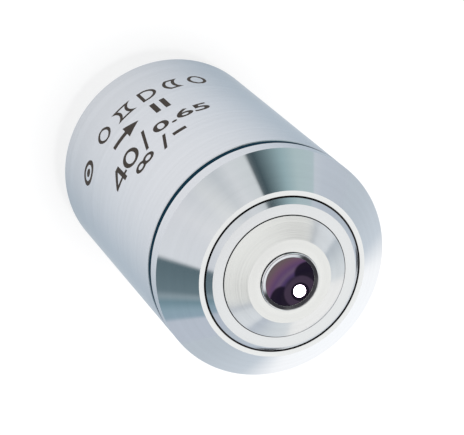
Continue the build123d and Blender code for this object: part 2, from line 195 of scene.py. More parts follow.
# The studio wall as it mirrors in the nose cone: heading in degrees (0 is the -Y side,
# positive towards +X) and colour. Two dark flags stand to the left and right of the front.
WALL = [
    (-180, (0.84, 0.86, 0.88)),
    (-162, (0.80, 0.83, 0.86)),
    (-144, (0.62, 0.67, 0.72)),
    (-134, (0.50, 0.55, 0.61)),
    (-98, (0.52, 0.57, 0.64)),
    (-91, (0.56, 0.61, 0.67)),
    (-90, (0.45, 0.55, 0.58)),
    (-78, (0.43, 0.54, 0.56)),
    (-68, (0.31, 0.43, 0.46)),
    (-58, (0.16, 0.23, 0.25)),
    (-49, (0.055, 0.085, 0.10)),
    (-45, (0.10, 0.13, 0.145)),
    (-43, (0.63, 0.67, 0.69)),
    (-28, (0.66, 0.69, 0.72)),
    (-17, (0.50, 0.54, 0.58)),
    (-3, (0.60, 0.63, 0.66)),
    (6, (0.57, 0.60, 0.65)),
    (20, (0.68, 0.70, 0.74)),
    (54, (0.70, 0.73, 0.77)),
    (57, (0.10, 0.15, 0.175)),
    (78, (0.14, 0.20, 0.23)),
    (82, (0.27, 0.34, 0.38)),
    (86, (0.17, 0.27, 0.32)),
    (92, (0.27, 0.38, 0.45)),
    (98, (0.29, 0.39, 0.47)),
    (99, (0.50, 0.55, 0.63)),
    (134, (0.51, 0.56, 0.64)),
    (146, (0.64, 0.69, 0.74)),
    (164, (0.80, 0.83, 0.86)),
    (180, (0.84, 0.86, 0.88)),
]
# Heights in degrees between which the wall gives way to the ceiling.
WALL_TOP = (25.0, 31.0)
CEILING = (0.92, 0.93, 0.92)
BACKDROP = (0.92, 0.93, 0.94)

# Round patches of the room, painted one over another: colour, heading and height of the middle,
# and the angles from there at which the patch is full and gone. Two pale panels stand behind the
# objective. A dark disc under a smaller white one leaves a dark hoop round the ceiling. A dim hood
# hangs over the lamp, between two dark shades. Its black middle shows as a rim round the lamp.
SHADE = (0.04, 0.04, 0.046)
SIDE_PANEL = (0.74, 0.78, 0.83)
PATCHES = [
    (SIDE_PANEL, 119.0, 20.0, 8.0, 14.0),
    (SIDE_PANEL, -119.0, 20.0, 8.0, 14.0),
    (SHADE, 180.0, 68.0, 55.0, 58.5),
    (CEILING, 180.0, 68.0, 46.0, 49.0),
    (SHADE, 118.0, 56.0, 18.0, 23.0),
    (SHADE, -118.0, 56.0, 18.0, 23.0),
    ((0.30, 0.27, 0.33), 0.0, 90.0, 24.0, 28.0),
    ((0.008, 0.007, 0.008), 0.0, 90.0, 14.2, 15.2),
]


def patch_factor(tree, direction, heading, height, full, gone):
    """How far a direction lies inside a round patch, from 0 to 1."""
    middle = towards(heading, height)
    nearness = vector_node(tree, "DOT_PRODUCT", direction, middle).outputs["Value"]
    inner, outer = cos(radians(full)), cos(radians(gone))
    return map_range(tree, nearness, outer, inner, 0.0, 1.0, smooth=True)


def make_world():
    """Pale studio: a wall that varies with heading, a white ceiling and round patches.

    The camera itself sees a plain backdrop.
    """
    world = bpy.data.worlds.new("studio")
    scene.world = world
    tree = node_tree(world)
    direction = add_node(tree, "ShaderNodeTexCoord").outputs["Generated"]
    axes = add_node(tree, "ShaderNodeSeparateXYZ")
    tree.links.new(direction, axes.inputs[0])
    forward = math_node(tree, "MULTIPLY", axes.outputs["Y"], -1.0)
    heading = math_node(tree, "ARCTAN2", axes.outputs["X"], forward)
    turn = map_range(tree, heading, -pi, pi, 0.0, 1.0)
    wall = colour_ramp(tree, turn, [((angle + 180.0) / 360.0, colour) for angle, colour in WALL])
    height = axes.outputs["Z"]
    low, high = (sin(radians(angle)) for angle in WALL_TOP)
    above_wall = map_range(tree, height, low, high, 0.0, 1.0, smooth=True)
    room = mix_colour(tree, above_wall, wall, CEILING)
    for colour, *place in PATCHES:
        room = mix_colour(tree, patch_factor(tree, direction, *place), room, colour)
    seen = add_node(tree, "ShaderNodeLightPath").outputs["Is Camera Ray"]
    room = mix_colour(tree, seen, room, BACKDROP)
    background = add_node(tree, "ShaderNodeBackground")
    tree.links.new(room, background.inputs["Color"])
    output = add_node(tree, "ShaderNodeOutputWorld")
    tree.links.new(background.outputs[0], output.inputs["Surface"])


# Lamps over the objective: places and radii in millimetres and power in watts.
LAMP_PLACE = (0.0, 0.0, 200.0)
LAMP_RADIUS = 33.0
LAMP_POWER = 0.29
GLINT_PLACE = (0.0, 5.0, 198.0)
GLINT_RADIUS = 26.5
GLINT_POWER = 0.42

# Soft panels that hide the hood and the two dark shades from the bright chrome of the front, which
# would mirror them: heading, height and half width in degrees. They stand at a distance in
# millimetres from the middle of the front.
PANELS = [(0.0, 90.0, 20.0), (118.0, 56.0, 22.0), (-118.0, 56.0, 22.0)]
PANEL_DISTANCE = 160.0
PANEL_GLOW = 0.55


def towards(heading, height):
    """Direction with a heading, in degrees from the -Y side towards +X, and a height."""
    turn, rise = radians(heading), radians(height)
    return Vector((sin(turn) * cos(rise), -cos(turn) * cos(rise), sin(rise)))


def disc_lamp(name, place, radius, power):
    """Round lamp that faces down from a place in millimetres."""
    data = bpy.data.lights.new(name, "AREA")
    data.shape = "DISK"
    data.size = 2 * radius * MM
    data.energy = power
    lamp = bpy.data.objects.new(name, data)
    lamp.location = Vector(place) * MM
    scene.collection.objects.link(lamp)
    return lamp


def light_only(lamps, pieces, name):
    """Makes lamps light nothing but the given pieces."""
    receivers = bpy.data.collections.new(name)
    for piece in pieces:
        receivers.objects.link(piece)
    for lamp in lamps:
        lamp.light_linking.receiver_collection = receivers


def make_lamp():
    """The lamp that lights everything and mirrors in nothing."""
    lamp = disc_lamp("overhead_lamp", LAMP_PLACE, LAMP_RADIUS, LAMP_POWER)
    lamp.visible_glossy = False


def make_glint(lens):
    """A second lamp just under the first for the front lens alone, which mirrors it."""
    glint = disc_lamp("lens_glint", GLINT_PLACE, GLINT_RADIUS, GLINT_POWER)
    light_only([glint], [lens], "glint_receivers")


def make_panels(pieces):
    """Soft round panels, all equally bright, that light only the given pieces."""
    front = cad_box[1].z / MM
    panels = []
    for index, (heading, height, half_width) in enumerate(PANELS):
        direction = towards(heading, height)
        place = direction * PANEL_DISTANCE + Vector((0.0, 0.0, front))
        radius = PANEL_DISTANCE * tan(radians(half_width))
        power = PANEL_GLOW * pi * pi * (radius * MM) ** 2
        panel = disc_lamp(f"panel_{index + 1}", place, radius, power)
        panel.rotation_euler = (-direction).to_track_quat("-Z", "Y").to_euler()
        panels.append(panel)
    light_only(panels, pieces, "panel_receivers")


# Light table under the objective: radius in metres, colour, and its own glow in the middle and far
# out. The bright pool is an ellipse, longest from front to back: its soft edge lies between two
# distances in millimetres, taken with X and Y stretched. It runs on to the horizon in a wedge to
# the front and to the back, whose soft edge lies between two ratios of X to the distance.
TABLE_SIZE = 3.0
TABLE_ALBEDO = (0.3, 0.3, 0.3)
TABLE_GLOW = (0.76, 0.76, 0.76)
TABLE_FAR_GLOW = (0.38, 0.435, 0.49)
TABLE_STRETCH = (1.9, 0.35, 1.0)
TABLE_RADII = (60.0, 170.0)
TABLE_WEDGE = (0.32, 0.46)


def table_glow(tree):
    """Colour socket of the light table's own glow."""
    place = object_place(tree)
    stretched = vector_node(tree, "MULTIPLY", place, TABLE_STRETCH).outputs[0]
    distance = vector_node(tree, "LENGTH", stretched).outputs["Value"]
    near, far = (radius * MM for radius in TABLE_RADII)
    off_pool = map_range(tree, distance, near, far, 0.0, 1.0, smooth=True)
    axes = add_node(tree, "ShaderNodeSeparateXYZ")
    tree.links.new(place, axes.inputs[0])
    aside = math_node(tree, "ABSOLUTE", axes.outputs["X"])
    length = vector_node(tree, "LENGTH", place).outputs["Value"]
    share = math_node(tree, "DIVIDE", aside, length)
    off_wedge = map_range(tree, share, *TABLE_WEDGE, 0.0, 1.0, smooth=True)
    outwards = math_node(tree, "MULTIPLY", off_pool, off_wedge)
    return mix_colour(tree, outwards, TABLE_GLOW, TABLE_FAR_GLOW)


def make_floor():
    """Pale light table under the mounting thread, brightest round the objective."""
    mesh = bpy.data.meshes.new("floor")
    bm = bmesh.new()
    bmesh.ops.create_circle(bm, cap_ends=True, radius=TABLE_SIZE, segments=64)
    bm.to_mesh(mesh)
    bm.free()
    floor = bpy.data.objects.new("floor", mesh)
    floor.location.z = cad_box[0].z
    scene.collection.objects.link(floor)
    material = bpy.data.materials.new("light_table")
    tree = node_tree(material)
    diffuse = add_node(tree, "ShaderNodeBsdfDiffuse")
    diffuse.inputs["Color"].default_value = (*TABLE_ALBEDO, 1.0)
    emission = add_node(tree, "ShaderNodeEmission")
    tree.links.new(table_glow(tree), emission.inputs["Color"])
    both = add_node(tree, "ShaderNodeAddShader")
    tree.links.new(diffuse.outputs[0], both.inputs[0])
    tree.links.new(emission.outputs[0], both.inputs[1])
    output = add_node(tree, "ShaderNodeOutputMaterial")
    tree.links.new(both.outputs[0], output.inputs["Surface"])
    mesh.materials.append(material)


# ---------------------------------------------------------------- materials


def turned_coordinates(tree, across, along):
    """Texture coordinates that follow the lathe: fast across the tool marks, slow along them."""
    axes = add_node(tree, "ShaderNodeSeparateXYZ")
    tree.links.new(object_place(tree), axes.inputs[0])
    x, y, z = axes.outputs
    square_x = math_node(tree, "MULTIPLY", x, x)
    square_y = math_node(tree, "MULTIPLY", y, y)
    radius = math_node(tree, "SQRT", math_node(tree, "ADD", square_x, square_y))
    joined = add_node(tree, "ShaderNodeCombineXYZ")
    tree.links.new(math_node(tree, "MULTIPLY", radius, across), joined.inputs[0])
    tree.links.new(math_node(tree, "MULTIPLY", z, across), joined.inputs[1])
    tree.links.new(math_node(tree, "MULTIPLY", x, along), joined.inputs[2])
    return joined.outputs[0]


def noise(tree, vector, scale, detail=2.0):
    """Output of a Noise Texture on the given coordinates."""
    node = add_node(tree, "ShaderNodeTexNoise")
    tree.links.new(vector, node.inputs["Vector"])
    node.inputs["Scale"].default_value = scale
    node.inputs["Detail"].default_value = detail
    return node.outputs[0]


# Most values of a Noise Texture lie between these two.
NOISE_SPAN = (0.3, 0.7)


def wander(tree, value, low, high):
    """Number that wanders from low to high with a noise."""
    return map_range(tree, value, *NOISE_SPAN, low, high)


def wander_colour(tree, value, first, second):
    """Colour that wanders from the first to the second with a noise."""
    return mix_colour(tree, wander(tree, value, 0.0, 1.0), first, second)


def new_shader(name):
    """(material, node tree, Principled shader) wired to the output."""
    material = bpy.data.materials.new(name)
    tree = node_tree(material)
    shader = add_node(tree, "ShaderNodeBsdfPrincipled")
    output = add_node(tree, "ShaderNodeOutputMaterial")
    tree.links.new(shader.outputs[0], output.inputs["Surface"])
    return material, tree, shader


def tint(colour, factor):
    """The colour times a factor."""
    return tuple(channel * factor for channel in colour)


# Tool marks in turned metal: width and depth in millimetres and how fast they change along their
# length. The colour changes on a scale that is this share of the one across the marks.
GROOVE_WIDTH = 0.05
GROOVE_DEPTH = 0.004
GROOVE_CHANGE = 60.0
COLOUR_SCALE = 0.06


def turned_metal(name, colour, roughness, groove, edge=(1, 1, 1)):
    """Lathe-turned metal: fine rings in bump and roughness and a faint change of colour."""
    material, tree, shader = new_shader(name)
    rings = turned_coordinates(tree, 1.0 / (GROOVE_WIDTH * MM), GROOVE_CHANGE)
    fine = noise(tree, rings, 1.0)
    broad = noise(tree, rings, COLOUR_SCALE)
    varied = wander_colour(tree, broad, tint(colour, 0.97), tint(colour, 1.02))
    tree.links.new(varied, shader.inputs["Base Color"])
    rough = wander(tree, fine, roughness * 0.85, roughness * 1.15)
    tree.links.new(rough, shader.inputs["Roughness"])
    if groove:
        bump = add_node(tree, "ShaderNodeBump")
        bump.inputs["Strength"].default_value = groove
        bump.inputs["Distance"].default_value = GROOVE_DEPTH * MM
        tree.links.new(fine, bump.inputs["Height"])
        tree.links.new(bump.outputs[0], shader.inputs["Normal"])
    shader.inputs["Metallic"].default_value = 1.0
    shader.inputs["Specular Tint"].default_value = (*edge, 1.0)
    return material


# Scale and detail of the noise in a coat of paint, in the coated glass and in clear glass.
PAINT_GRAIN = (9000.0, 3.0)
COATING_PATCHES = (300.0, 1.0)
GLASS_PATCHES = (200.0, 1.0)


def coated_paint(name, colour, roughness, gloss=0.5):
    """Paint or blackening with a slightly uneven surface."""
    material, tree, shader = new_shader(name)
    grain = noise(tree, object_place(tree), *PAINT_GRAIN)
    varied = wander_colour(tree, grain, tint(colour, 0.85), tint(colour, 1.15))
    tree.links.new(varied, shader.inputs["Base Color"])
    rough = wander(tree, grain, roughness * 0.9, roughness * 1.1)
    tree.links.new(rough, shader.inputs["Roughness"])
    shader.inputs["Specular IOR Level"].default_value = gloss
    return material


# Colour of the front lens coating against the slant of the view, from 0 (square on) to 1, and the
# two dark colours that the glass under it wanders between. The coating's shift with the slant is
# real, but its steps also paint darker and lighter rings into the lens's reflection. The
# near-black
# glass is painted shade: it stands in for the blackened, unlit inside of the objective seen
# through clear glass.
COATING_WITH_PAINTED_RINGS = [
    (0.095, (1.0, 0.75, 1.0)),
    (0.118, (0.24, 0.15, 0.44)),
    (0.134, (0.45, 0.25, 0.78)),
    (0.158, (0.90, 0.58, 1.0)),
    (0.200, (0.69, 0.34, 0.90)),
    (0.250, (0.95, 0.48, 0.80)),
    (0.310, (0.85, 0.58, 0.60)),
    (0.450, (0.45, 0.36, 0.35)),
]
INSIDE_PAINTED_SHADE = ((0.0035, 0.0027, 0.0055), (0.0045, 0.0033, 0.0070))


def coated_glass(name, index):
    """Front lens: glass under an anti-reflection coating that shifts with the slant, with painted
    shade for the dark inside seen through it and painted rings in its reflection.
    """
    material, tree, shader = new_shader(name)
    # Painted shade: the near-black colour stands in for the dark inside of the objective seen
    # through the glass.
    patches = noise(tree, object_place(tree), *COATING_PATCHES)
    varied = wander_colour(tree, patches, *INSIDE_PAINTED_SHADE)
    tree.links.new(varied, shader.inputs["Base Color"])
    shader.inputs["Roughness"].default_value = 0.02
    shader.inputs["IOR"].default_value = index
    slant = add_node(tree, "ShaderNodeLayerWeight")
    slant.inputs["Blend"].default_value = 0.5
    # Painted light and shade: besides the coating's real shift, these colours make darker and
    # lighter rings in the reflection.
    coating = colour_ramp(tree, slant.outputs["Facing"], COATING_WITH_PAINTED_RINGS)
    tree.links.new(coating, shader.inputs["Specular Tint"])
    return material


def clear_glass(name, colour, index):
    """Lens glass with a trace of its own colour."""
    material, tree, shader = new_shader(name)
    patches = noise(tree, object_place(tree), *GLASS_PATCHES)
    varied = wander_colour(tree, patches, colour, tint(colour, 0.97))
    tree.links.new(varied, shader.inputs["Base Color"])
    shader.inputs["Roughness"].default_value = 0.0
    shader.inputs["IOR"].default_value = index
    shader.inputs["Transmission Weight"].default_value = 1.0
    return material


def make_materials():
    """Every material of the object by a short name."""
    barrel = (0.75, 0.75, 0.77)
    nose = (0.90, 0.905, 0.91)
    sleeve = (0.85, 0.86, 0.875)
    cell = (0.91, 0.91, 0.895)
    bezel = (0.95, 0.945, 0.94)
    mount = (0.62, 0.63, 0.64)
    return {
        # The barrel's dark blue edge colour is partly painted shade: beyond the chrome's own edge
        # colour, it darkens and blues the reflection towards the barrel's sides.
        "barrel": turned_metal("barrel_satin_chrome", barrel, 0.24, 0.25, (0.44, 0.52, 0.59)),
        "nose": turned_metal("nose_bright_chrome", nose, 0.07, 0.12, (0.95, 0.97, 1.0)),
        "sleeve": turned_metal("sleeve_chrome", sleeve, 0.12, 0.12, (0.92, 0.95, 1.0)),
        "cell": turned_metal("cell_satin_nickel", cell, 0.14, 0.3, (0.97, 0.98, 1.0)),
        "bezel": turned_metal("bezel_bright_nickel", bezel, 0.06, 0.0, (0.9, 0.95, 1.0)),
        "mount": turned_metal("mount_chrome", mount, 0.25, 0.2, (0.8, 0.88, 0.95)),
        "brass": turned_metal("bare_brass", (0.72, 0.55, 0.27), 0.28, 0.4),
        "blackened": coated_paint("blackened_brass", (0.02, 0.018, 0.017), 0.45),
        "steel": turned_metal("spring_steel", (0.50, 0.50, 0.51), 0.3, 0.3),
        "matt_black": coated_paint("matt_black", (0.012, 0.012, 0.013), 0.7),
        "anodised": coated_paint("black_anodised", (0.03, 0.03, 0.032), 0.4),
        "ring": coated_paint("ring_teal_enamel", (0.0005, 0.036, 0.066), 0.3, 0.05),
        "ink": coated_paint("engraving_ink", (0.058, 0.046, 0.038), 0.55, 0.05),
        "front_glass": coated_glass("front_glass_purple", 2.2),
        "crown": clear_glass("crown_glass", (0.96, 0.99, 1.0), 1.52),
        "flint": clear_glass("flint_glass", (1.0, 0.99, 0.95), 1.66),
    }


# ---------------------------------------------------------------- turned pieces

# The arc at a corner has this many steps and takes at most this share of either side.
ARC_STEPS = 4
ARC_SHARE = 0.45


def rounded(outline, radius):
    """The closed outline with every corner replaced by a small arc of that radius."""
    result = []
    count = len(outline)
    for index, corner in enumerate(outline):
        here = Vector(corner)
        before = Vector(outline[index - 1]) - here
        after = Vector(outline[(index + 1) % count]) - here
        reach = min(before.length, after.length) * ARC_SHARE
        angle = before.angle(after)
        inset = min(radius / max(sin(angle / 2), 1e-6) * cos(angle / 2), reach)
        start = here + before.normalized() * inset
        end = here + after.normalized() * inset
        for step in range(ARC_STEPS + 1):
            t = step / ARC_STEPS
            result.append(start * (1 - t) ** 2 + here * (2 * t * (1 - t)) + end * t**2)
    return result


def outline_normals(points):
    """Outward normals at the points of a closed outline.

    Both sides of a point count by their length, so a long flat stays flat up to its rounding.
    """
    count = len(points)
    area = sum(a.x * b.y - b.x * a.y for a, b in zip(points, points[1:] + points[:1]))
    turn = 1.0 if area > 0 else -1.0
    normals = []
    for index in range(count):
        side = points[(index + 1) % count] - points[index - 1]
        normals.append(Vector((side.y, -side.x)).normalized() * turn)
    return normals


def on_lathe(radius, angle, height):
    """Place in metres from a radius, an angle and a height in millimetres."""
    return (radius * cos(angle) * MM, radius * sin(angle) * MM, height * MM)


def join_rings(bm, ring, following, material=0):
    """A band of smooth faces between two rings of vertices."""
    for index in range(len(ring)):
        after = (index + 1) % len(ring)
        face = bm.faces.new((ring[index], ring[after], following[after], following[index]))
        face.smooth = True
        face.material_index = material


def lathe(name, outline, materials, body, finish=None, edge=0.02):
    """Turned piece from a closed (radius, height) outline in millimetres.

    finish(radius, height) gives the number of the material that a band of faces takes.
    """
    points = rounded(outline, edge)
    bm = bmesh.new()
    rows = []
    normals = []
    for (radius, height), (outward, upward) in zip(points, outline_normals(points)):
        row = []
        for index in range(SEGMENTS):
            angle = 2 * pi * index / SEGMENTS
            row.append(bm.verts.new(on_lathe(radius, angle, height)))
            normals.append((outward * cos(angle), outward * sin(angle), upward))
        rows.append(row)
    for index, row in enumerate(rows):
        after = (index + 1) % len(rows)
        middle = (points[index] + points[after]) / 2
        material = finish(middle.x, middle.y) if finish else 0
        join_rings(bm, row, rows[after], int(material))
    return finish_piece(name, bm, materials, body, normals)


def finish_piece(name, bm, materials, body, normals=None):
    """Turns a bmesh into a piece that rides on a body, with the given vertex normals."""
    bmesh.ops.recalc_face_normals(bm, faces=bm.faces)
    mesh = bpy.data.meshes.new(name)
    bm.to_mesh(mesh)
    bm.free()
    for material in materials:
        mesh.materials.append(material)
    if normals:
        mesh.normals_split_custom_set_from_vertices(normals)
    piece = bpy.data.objects.new(name, mesh)
    scene.collection.objects.link(piece)
    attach(piece, body)
    return piece


def span(node):
    """(outer radius, lowest height, highest height) of a turned CAD node in millimetres."""
    low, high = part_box(node)
    return (high.x / MM, low.z / MM, high.z / MM)


# Slack in millimetres where a band of faces is told by its place.
TOUCH = 0.01

# Bore in millimetres of the pieces that are screwed over the guide tube.
GUIDE_BORE = 11.02


def make_barrel(mats):
    """Outer sleeve with its rear chamfer."""
    radius, bottom, top = span("barrel_sleeve")
    chamfer, front_edge = 0.5, 0.1
    flange_bore, relief_bore = 12.02, 11.5
    relief_bottom, relief_top = 6.0, 31.0
    outline = [
        (flange_bore, bottom),
        (radius - chamfer, bottom),
        (radius, bottom + chamfer),
        (radius, top - front_edge),
        (radius - front_edge, top),
        (GUIDE_BORE, top),
        (GUIDE_BORE, relief_top),
        (relief_bore, relief_top),
        (relief_bore, relief_bottom),
        (flange_bore, relief_bottom),
    ]
    piece = lathe("barrel", outline, [mats["barrel"]], OUTER)
    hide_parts("barrel_sleeve")


def make_ring(mats):
    """Enamelled colour ring, tapered towards the nose."""
    radius, bottom, top = span("colour_ring")
    taper = 0.3
    outline = [(GUIDE_BORE, bottom), (radius, bottom), (radius - taper, top), (GUIDE_BORE, top)]
    piece = lathe("colour_band", outline, [mats["ring"]], OUTER, edge=0.03)
    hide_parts("colour_ring")


def make_nose(mats):
    """Nose with a polished 45 degree cone and a satin side, and painted shade: matt black under
    the lip, in the bore and on the thread, down in the gap.
    """
    radius, bottom, top = span("nose_cone")
    end_radius, lip, bore = 9.4, 8.85, 9.6
    lip_bottom, bore_bottom = 38.9, 37.0
    edge_break, side_band = 0.1, 0.15
    cone_bottom = top - (radius - end_radius)
    outline = [
        (GUIDE_BORE, bottom),
        (radius - edge_break, bottom),
        (radius, bottom + edge_break),
        (radius, cone_bottom),
        (end_radius, top),
        (lip, top),
        (lip, lip_bottom),
        (bore, lip_bottom),
        (bore, bore_bottom),
        (GUIDE_BORE, bore_bottom),
    ]

    # Painted shade: the faces under the lip, in the bore and on the thread are matt black, so the
    # gap behind the lip looks dark.
    def finish(r, z):
        in_bore = r < bore + TOUCH and z < lip_bottom + TOUCH
        in_thread = r < GUIDE_BORE + TOUCH and z < bore_bottom + TOUCH
        if in_bore or in_thread:
            return 1
        return 2 if r > radius - side_band and z < cone_bottom + TOUCH else 0

    finishes = [mats["nose"], mats["matt_black"], mats["barrel"]]
    piece = lathe("nose", outline, finishes, OUTER, finish)
    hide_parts("nose_cone")
    return piece


def make_front_sleeve(mats):
    """Chamfered ring round the front cell, with painted shade: matt black inside and low down in
    the gap round it.
    """
    radius, bottom, top = span("front_sleeve")
    flat, bore, thread, lip = 8.1, 6.93, 8.0, 5.9
    flange, lip_height = 38.88, 0.35
    bright_bottom, bright_lip = 39.72, 0.03
    outline = [
        (bore, top),
        (flat, top),
        (radius, top - (radius - flat)),
        (radius, flange),
        (thread, flange),
        (thread, bottom),
        (lip, bottom),
        (lip, bottom + lip_height),
        (bore, bottom + lip_height),
    ]

    # Painted shade: the bore and the side low down in the gap round the ring are matt black.
    def painted_gap_shade(r, z):
        in_gap = r > radius - TOUCH and z < bright_bottom
        return in_gap or (r < bore + TOUCH and z < top - bright_lip)

    finishes = [mats["sleeve"], mats["matt_black"]]
    piece = lathe("front_ring", outline, finishes, LENS, painted_gap_shade)
    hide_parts("front_sleeve")
    return piece


def make_front_cell(mats):
    """Shallow cone with a flat round the front lens, with painted shade: matt black on its faces
    down in the gaps, under the front ring and round the bezel.
    """
    thread, bottom, top = span("front_cell")
    radius, flat, bezel, bore, seat = 6.84, 4.7, 3.27, 3.02, 2.95
    shoulder, cone_bottom, bezel_seat, lens_seat = 40.25, 40.5, 41.62, 40.8
    bright_bottom, bright_recess = 40.45, 41.85
    outline = [
        (seat, bottom),
        (thread, bottom),
        (thread, shoulder),
        (radius, shoulder),
        (radius, cone_bottom),
        (flat, top),
        (bezel, top),
        (bezel, bezel_seat),
        (bore, bezel_seat),
        (bore, lens_seat),
        (seat, lens_seat),
    ]

    # Painted shade: the short side down in the gap to the front ring, everything below it, and the
    # recess round the bezel are matt black.
    def painted_gap_shade(r, z):
        return z < bright_bottom or r < bezel + TOUCH and z < bright_recess

    finishes = [mats["cell"], mats["matt_black"]]
    piece = lathe("front_cone", outline, finishes, LENS, painted_gap_shade)
    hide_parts("front_cell")
    return piece


def make_bezel(mats):
    """Ring with a round shoulder and a lip that slopes down over the front lens."""
    radius, bottom, top = span("front_lens_bezel")
    hole, lip_top, recess, bore, shoulder = 2.75, 42.0, 41.94, 3.02, 0.14
    crest = radius - shoulder
    steps = 6
    outline = [(bore, bottom), (radius, bottom)]
    for step in range(steps + 1):
        turn = pi / 2 * step / steps
        outline.append((crest + shoulder * cos(turn), top - shoulder + shoulder * sin(turn)))
    outline += [(hole, lip_top), (hole, recess), (bore, recess)]

    # Painted shade: the side down in the recess of the cell, the bottom, the bore and the
    # underside of the lip are matt black.
    def painted_gap_shade(r, z):
        return z < recess + TOUCH

    finishes = [mats["bezel"], mats["matt_black"]]
    piece = lathe("lens_bezel", outline, finishes, LENS, painted_gap_shade, edge=0.015)
    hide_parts("front_lens_bezel")


# Radius and vertex height of the two faces of the front lens.
FRONT_LENS_FACE = (7.5, 41.294)
FRONT_LENS_BACK = (3.7, 39.37)
FRONT_LENS_STEPS = 24
FRONT_LENS_SEGMENTS = 128


def sphere_height(face, r):
    """Height of a lens face, given as (radius, vertex height), at a distance from the axis."""
    radius, vertex = face
    return vertex + radius - sqrt(radius**2 - r * r)


def make_front_lens(mats):
    """Hollow-fronted lens with a domed back, as one closed turned mesh."""
    radius = span("front_lens")[0]
    bm = bmesh.new()
    out = [radius * step / FRONT_LENS_STEPS for step in range(FRONT_LENS_STEPS + 1)]
    profile = [(r, sphere_height(FRONT_LENS_FACE, r)) for r in out]
    profile += [(r, sphere_height(FRONT_LENS_BACK, r)) for r in reversed(out)]
    verts = [bm.verts.new((r * MM, 0.0, z * MM)) for r, z in profile]
    edges = [bm.edges.new(pair) for pair in zip(verts, verts[1:])]
    bmesh.ops.spin(
        bm,
        geom=verts + edges,
        cent=(0, 0, 0),
        axis=(0, 0, 1),
        angle=2 * pi,
        steps=FRONT_LENS_SEGMENTS,
        use_merge=True,
    )
    bmesh.ops.remove_doubles(bm, verts=bm.verts, dist=1e-7)
    for face in bm.faces:
        face.smooth = True
    piece = finish_piece("front_glass", bm, [mats["front_glass"]], LENS)
    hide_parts("front_lens")
    make_glint(piece)


# Mounting thread in millimetres, and the rows and columns of vertices that draw it. A cosine wave
# that is made this much higher and clipped at both ends gives the thread its flats. Edges over the
# last angle stay sharp.
THREAD_PITCH = 25.4 / 36
THREAD_CREST = 10.135
THREAD_DEPTH = 0.45
THREAD_ROWS = 90
THREAD_COLUMNS = 240
THREAD_GAIN = 1.25
SHARP_ANGLE = radians(35)


def thread_radius(turn, z, limit):
    """Radius of the threaded spigot, at most limit, at a share of a turn and a height."""
    wave = 0.5 + 0.5 * cos(2 * pi * (z / THREAD_PITCH - turn))
    flank = min(max(THREAD_GAIN * wave - (THREAD_GAIN - 1) / 2, 0.0), 1.0)
    return min(limit, THREAD_CREST - THREAD_DEPTH * (1.0 - flank))


def make_mount(mats):
    """Mount with the real helical thread on its spigot."""
    flange, bottom, top = span("mount_body")
    relief, pilot, bore = 9.55, 10.25, 8.2
    thread_top, relief_top, bore_top = -0.9, 0.15, 1.5
    chamfer = 0.5
    turns = [column / THREAD_COLUMNS for column in range(THREAD_COLUMNS)]
    bm = bmesh.new()
    rings = []
    for row in range(THREAD_ROWS + 1):
        z = bottom + (thread_top - bottom) * row / THREAD_ROWS
        limit = min(THREAD_CREST, THREAD_CREST - chamfer + (z - bottom))
        radii = [thread_radius(turn, z, limit) for turn in turns]
        places = [on_lathe(radius, 2 * pi * turn, z) for radius, turn in zip(radii, turns)]
        rings.append([bm.verts.new(place) for place in places])
    rest = [
        (relief, thread_top),
        (relief, relief_top),
        (pilot, relief_top),
        (pilot, 0.0),
        (flange, 0.0),
        (flange, top),
        (GUIDE_BORE, top),
        (GUIDE_BORE, bore_top),
        (bore, bore_top),
        (bore, bottom),
    ]
    for radius, z in rest:
        rings.append([bm.verts.new(on_lathe(radius, 2 * pi * turn, z)) for turn in turns])
    for ring, following in zip(rings, rings[1:] + rings[:1]):
        join_rings(bm, ring, following)
    for edge in bm.edges:
        if edge.calc_face_angle(0.0) > SHARP_ANGLE:
            edge.smooth = False
    piece = finish_piece("mount_thread", bm, [mats["mount"]], OUTER)
    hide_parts("mount_body")


# Spring: radius of the wire in millimetres, and the steps along the wire and round it.
SPRING_WIRE_R = 0.35
SPRING_TURNS = 3.5
SPRING_STEPS = 168
SPRING_SIDES = 12


def make_spring(mats):
    """Helical spring of round wire, at rest between its seat and the lens barrel."""
    radius, bottom, top = span("return_spring")
    coil = radius - SPRING_WIRE_R
    start = bottom + SPRING_WIRE_R
    rise = top - bottom - 2 * SPRING_WIRE_R
    slope = atan2(rise, 2 * pi * coil * SPRING_TURNS)
    bm = bmesh.new()
    rings = []
    for step in range(SPRING_STEPS + 1):
        share = step / SPRING_STEPS
        angle = 2 * pi * SPRING_TURNS * share
        outward = Vector((cos(angle), sin(angle), 0.0))
        across = Vector((sin(angle) * sin(slope), -cos(angle) * sin(slope), cos(slope)))
        middle = outward * coil + Vector((0.0, 0.0, start + rise * share))
        ring = []
        for side in range(SPRING_SIDES):
            turn = 2 * pi * side / SPRING_SIDES
            place = middle + (outward * cos(turn) + across * sin(turn)) * SPRING_WIRE_R
            ring.append(bm.verts.new(place * MM))
        rings.append(ring)
    for ring, following in zip(rings, rings[1:]):
        join_rings(bm, ring, following)
    bm.faces.new(rings[0])
    bm.faces.new(rings[-1])
    piece = finish_piece("coil_spring", bm, [mats["steel"]], OUTER)
    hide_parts("return_spring")
    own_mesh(piece)


# ---------------------------------------------------------------- engraved marks

# How deep a mark's foot lies, how far its face stands proud, and the width of the strips that it
# is cut into so that it bends round the barrel, in millimetres.
MARK_DEPTH = 0.02
MARK_PROUD = 0.004
MARK_STEP = 0.2


def flat_mesh(curve):
    """Mesh of a filled 2D curve or text."""
    holder = bpy.data.objects.new("flat", curve)
    scene.collection.objects.link(holder)
    bpy.context.view_layer.update()
    depsgraph = bpy.context.evaluated_depsgraph_get()
    mesh = bpy.data.meshes.new_from_object(holder.evaluated_get(depsgraph))
    bpy.data.objects.remove(holder)
    return mesh


